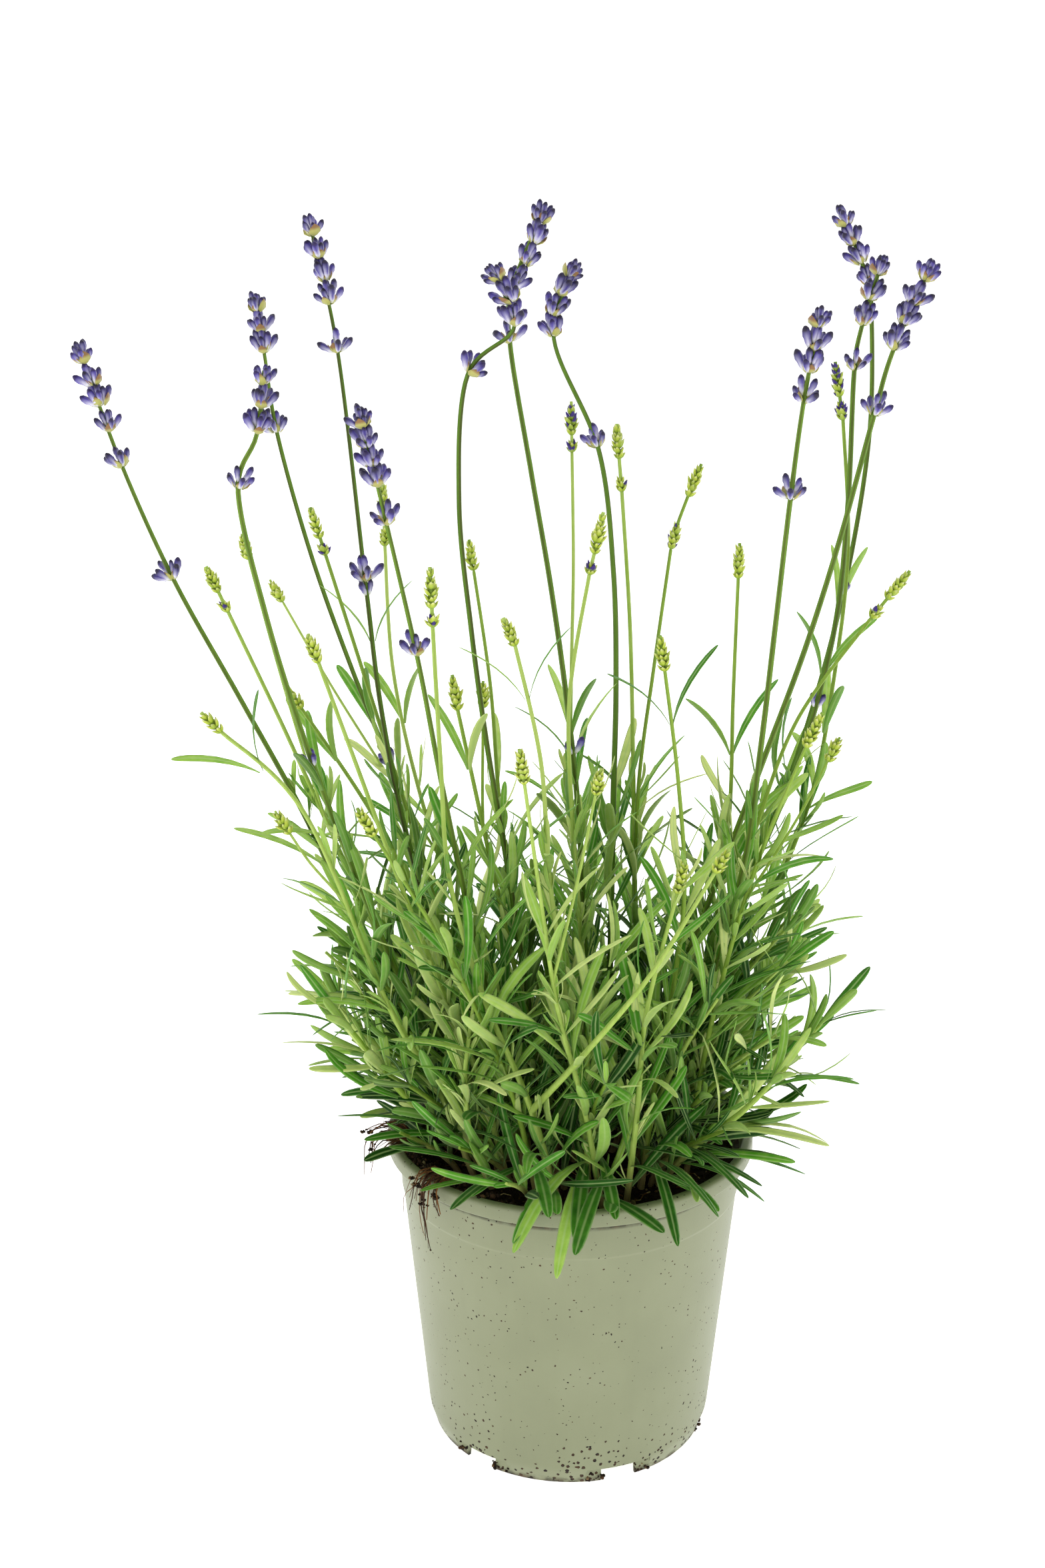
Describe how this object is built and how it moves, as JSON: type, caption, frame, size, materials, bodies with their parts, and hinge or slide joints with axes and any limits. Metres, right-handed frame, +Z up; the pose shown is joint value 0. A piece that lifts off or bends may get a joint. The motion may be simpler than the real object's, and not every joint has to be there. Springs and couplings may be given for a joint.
{
  "type": "potted lavender",
  "caption": "Young lavender plant in flower, with violet whorls on tall bare stalks, green bud stalks and narrow leaves, in a round sage-green nursery pot.",
  "frame": {"origin": "centre of the pot's foot, on its axis and on the surface that it stands on", "axes": "+Z up along the pot's axis, -Y towards the front of the plant, +X to the right seen from the front"},
  "size_m": [0.2815, 0.193, 0.4322],
  "materials": {
    "pot_plastic": "injection-moulded polypropylene, sage green, satin matt, with soil specks",
    "potting_soil": "moist peat compost, crumbly and fibrous",
    "woody_stem": "thin grey-brown bark",
    "roots": "washed-out fibrous roots, brown",
    "green_stalk": "square green stalk with fine down",
    "lavender_flower": "violet corollas in downy calyces",
    "green_bud": "yellow-green closed bracts on a thin green stalk",
    "lavender_leaf": "narrow grey-green leaf with fine down and a central groove"
  },
  "bodies": {
    "root": {"pot": "pot_plastic", "soil": "potting_soil", "woody_crown": "woody_stem", "root_tuft_front": "roots", "root_tuft_left": "roots", "flower_stalk_01": "green_stalk", "flower_stalk_02": "green_stalk", "flower_stalk_03": "green_stalk", "flower_stalk_04": "green_stalk", "flower_stalk_05": "green_stalk", "flower_stalk_06": "green_stalk", "flower_stalk_07": "green_stalk", "flower_stalk_08": "green_stalk", "flower_stalk_09": "green_stalk", "flower_stalk_10": "green_stalk", "flower_stalk_11": "green_stalk", "flower_stalk_12": "green_stalk", "flower_head_01": "lavender_flower", "flower_head_02": "lavender_flower", "flower_head_03": "lavender_flower", "flower_head_04": "lavender_flower", "flower_head_05": "lavender_flower", "flower_head_06": "lavender_flower", "flower_head_07": "lavender_flower", "flower_head_08": "lavender_flower", "flower_head_09": "lavender_flower", "flower_head_10": "lavender_flower", "flower_head_11": "lavender_flower", "flower_head_12": "lavender_flower", "bud_stalk_01": "green_bud", "bud_stalk_02": "green_bud", "bud_stalk_03": "green_bud", "bud_stalk_04": "green_bud", "bud_stalk_05": "green_bud", "bud_stalk_06": "green_bud", "bud_stalk_07": "green_bud", "bud_stalk_08": "green_bud", "bud_stalk_09": "green_bud", "bud_stalk_10": "green_bud", "bud_stalk_11": "green_bud", "bud_stalk_12": "green_bud", "bud_stalk_13": "green_bud", "bud_stalk_14": "green_bud", "bud_stalk_15": "green_bud", "bud_stalk_16": "green_bud", "bud_stalk_17": "green_bud", "bud_stalk_18": "green_bud", "bud_stalk_19": "green_bud", "bud_stalk_20": "green_bud", "bud_stalk_21": "green_bud", "bud_stalk_22": "green_bud", "leafy_shoot_01": "lavender_leaf", "leafy_shoot_02": "lavender_leaf", "leafy_shoot_03": "lavender_leaf", "leafy_shoot_04": "lavender_leaf", "leafy_shoot_05": "lavender_leaf", "leafy_shoot_06": "lavender_leaf", "leafy_shoot_07": "lavender_leaf", "leafy_shoot_08": "lavender_leaf", "leafy_shoot_09": "lavender_leaf"}
  },
  "joints": []
}
